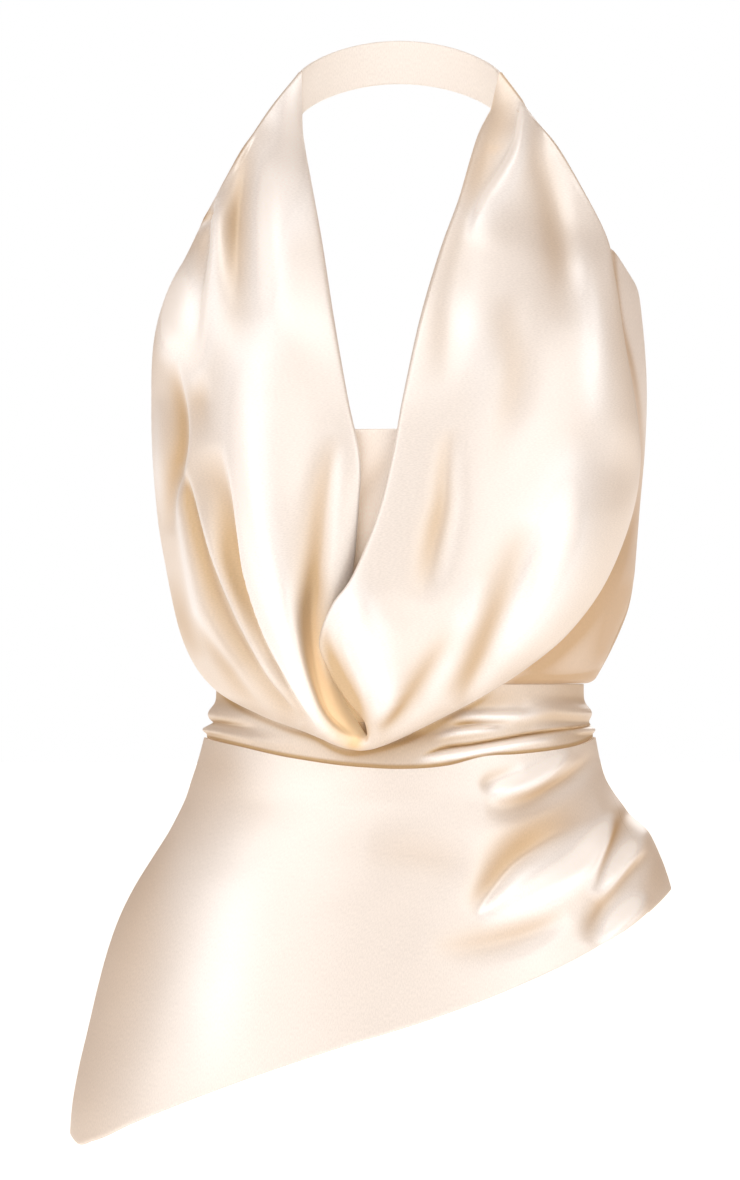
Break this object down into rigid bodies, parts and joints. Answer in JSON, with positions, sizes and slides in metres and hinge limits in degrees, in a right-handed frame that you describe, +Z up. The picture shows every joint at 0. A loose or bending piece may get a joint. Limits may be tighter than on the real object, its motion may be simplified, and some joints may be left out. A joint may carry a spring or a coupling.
{
  "type": "cowl neck halter top",
  "caption": "Satin halter top with a deep draped cowl neck over a plain under bodice, a folded waistband and a skirt with a slanted hem, worn and hollow.",
  "frame": {"origin": "inner face of the neck band at the nape, half way up the band, where the wearer's neck holds the top", "axes": "+Z up, -Y to the front of the garment, +X to the viewer's right when seen from the front"},
  "size_m": [0.3917, 0.2699, 0.717],
  "materials": {
    "satin_face": "champagne satin, soft sheen",
    "satin_inside": "matt back of champagne satin",
    "satin_under": "champagne satin in shade",
    "satin_waist": "champagne satin, horizontal folds",
    "satin_skirt": "champagne satin, soft sheen"
  },
  "bodies": {
    "root": {"neck_band": "satin_inside", "cowl_front": "satin_face", "bodice_front": "satin_under", "bodice_back": "satin_under", "waistband_front": "satin_waist", "waistband_back": "satin_waist", "skirt_front": "satin_skirt", "skirt_back": "satin_skirt"}
  },
  "joints": []
}
